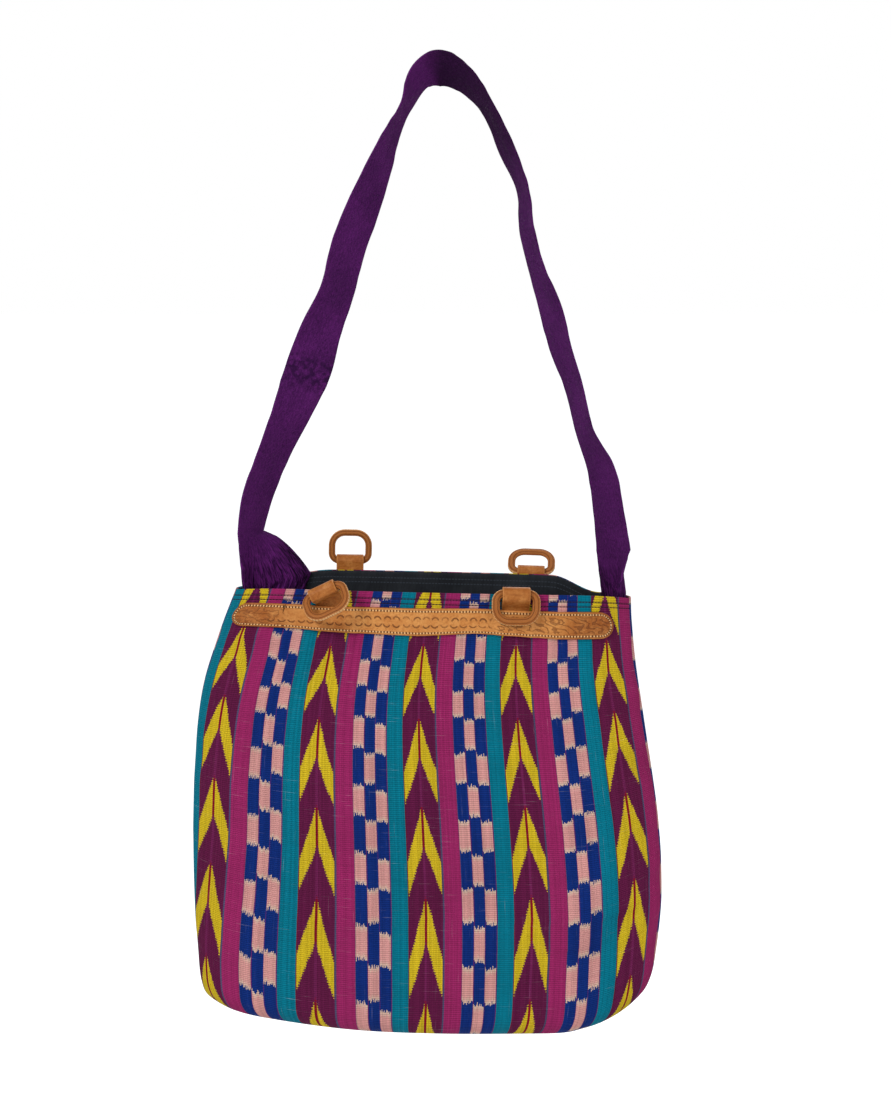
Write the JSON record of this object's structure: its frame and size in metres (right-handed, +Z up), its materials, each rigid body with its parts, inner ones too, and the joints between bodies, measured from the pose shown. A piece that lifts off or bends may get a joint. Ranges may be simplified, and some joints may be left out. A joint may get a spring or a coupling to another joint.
{
  "type": "cloth shoulder bag",
  "caption": "Open-topped shoulder bag of striped tie-dyed cloth with a dark lining, leather mouth bands with tabs and rings, and a woven strap with pleated ends.",
  "frame": {"origin": "underside of the strap's crest, where a peg or a shoulder holds the bag", "axes": "+X to the right of the front, +Y towards the back, +Z up along the hanging bag"},
  "size_m": [0.3927, 0.1093, 0.8147],
  "materials": {
    "ikat_cloth": "woven, matte",
    "black_lining": "plain cotton",
    "purple_strap": "ribbed",
    "tan_leather": "tooled, worn satin"
  },
  "bodies": {
    "bag": {"front_panel": "ikat_cloth", "back_panel": "ikat_cloth", "lining": "black_lining", "front_band": "tan_leather", "back_band": "tan_leather", "front_left_tab": "tan_leather", "front_right_tab": "tan_leather", "back_left_tab": "tan_leather", "back_right_tab": "tan_leather", "strap": "purple_strap"},
    "front_left_ring": {"front_left_ring": "tan_leather"},
    "front_right_ring": {"front_right_ring": "tan_leather"},
    "back_left_ring": {"back_left_ring": "tan_leather"},
    "back_right_ring": {"back_right_ring": "tan_leather"}
  },
  "joints": [
    {"name": "front_left_ring_hinge", "type": "hinge", "parent": "bag", "child": "front_left_ring", "pos_m": [-0.09203, -0.03665, -0.41305], "axis": [-0.901, 0.009, -0.4337], "range_deg": [-42, 186]},
    {"name": "front_right_ring_hinge", "type": "hinge", "parent": "bag", "child": "front_right_ring", "pos_m": [0.06426, -0.03307, -0.416], "axis": [-0.999, -0.0383, 0.0237], "range_deg": [0, 218]},
    {"name": "back_left_ring_hinge", "type": "hinge", "parent": "bag", "child": "back_left_ring", "pos_m": [-0.07254, 0.03256, -0.4005], "axis": [0.9991, 0.0366, -0.0234], "range_deg": [-165, 52]},
    {"name": "back_right_ring_hinge", "type": "hinge", "parent": "bag", "child": "back_right_ring", "pos_m": [0.07836, 0.03248, -0.40984], "axis": [0.998, -0.0587, -0.0231], "range_deg": [-111, 106]}
  ]
}
